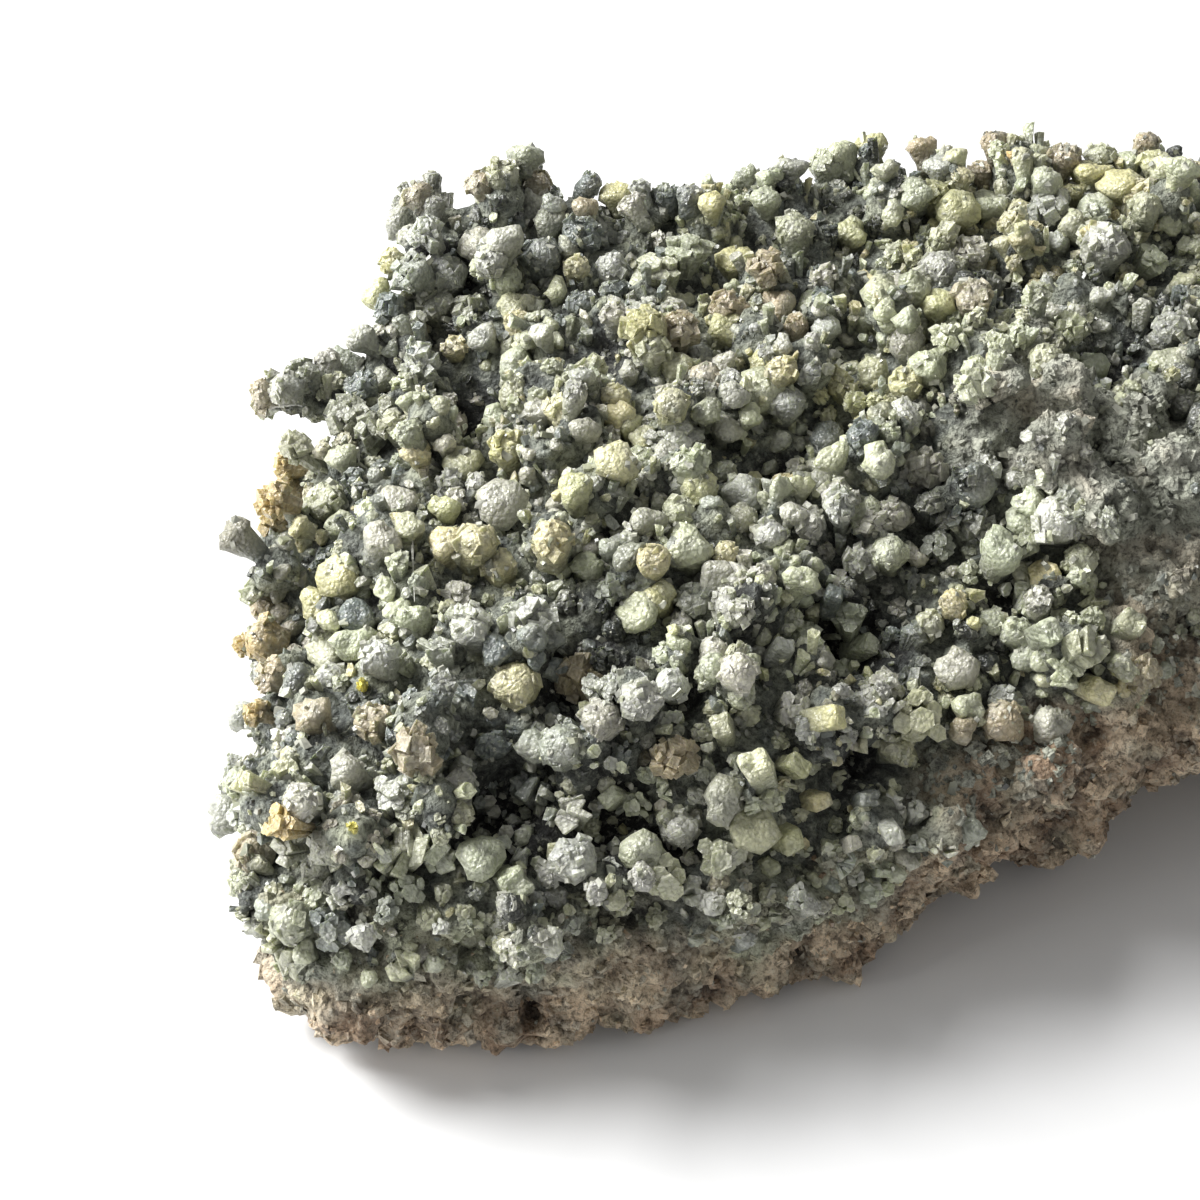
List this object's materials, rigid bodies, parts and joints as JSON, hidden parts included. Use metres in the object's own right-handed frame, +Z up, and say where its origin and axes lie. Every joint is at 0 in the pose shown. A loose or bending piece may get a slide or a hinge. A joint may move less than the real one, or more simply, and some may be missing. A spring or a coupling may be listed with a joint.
{
  "type": "prehnite mineral specimen",
  "caption": "Loose slab of green-grey prehnite: a crust of knobbly fingers, buds and blocky crystals on rough brown matrix, lying flat.",
  "frame": {"origin": "on the surface that the specimen lies on, under the middle of its plan outline", "axes": "+Z up out of the crystal crust, +X along the specimen's length, +Y from its broken front face to its back"},
  "size_m": [0.1322, 0.102, 0.043],
  "materials": {
    "prehnite": "satin"
  },
  "bodies": {
    "root": {"prehnite_specimen": "prehnite"}
  },
  "joints": []
}
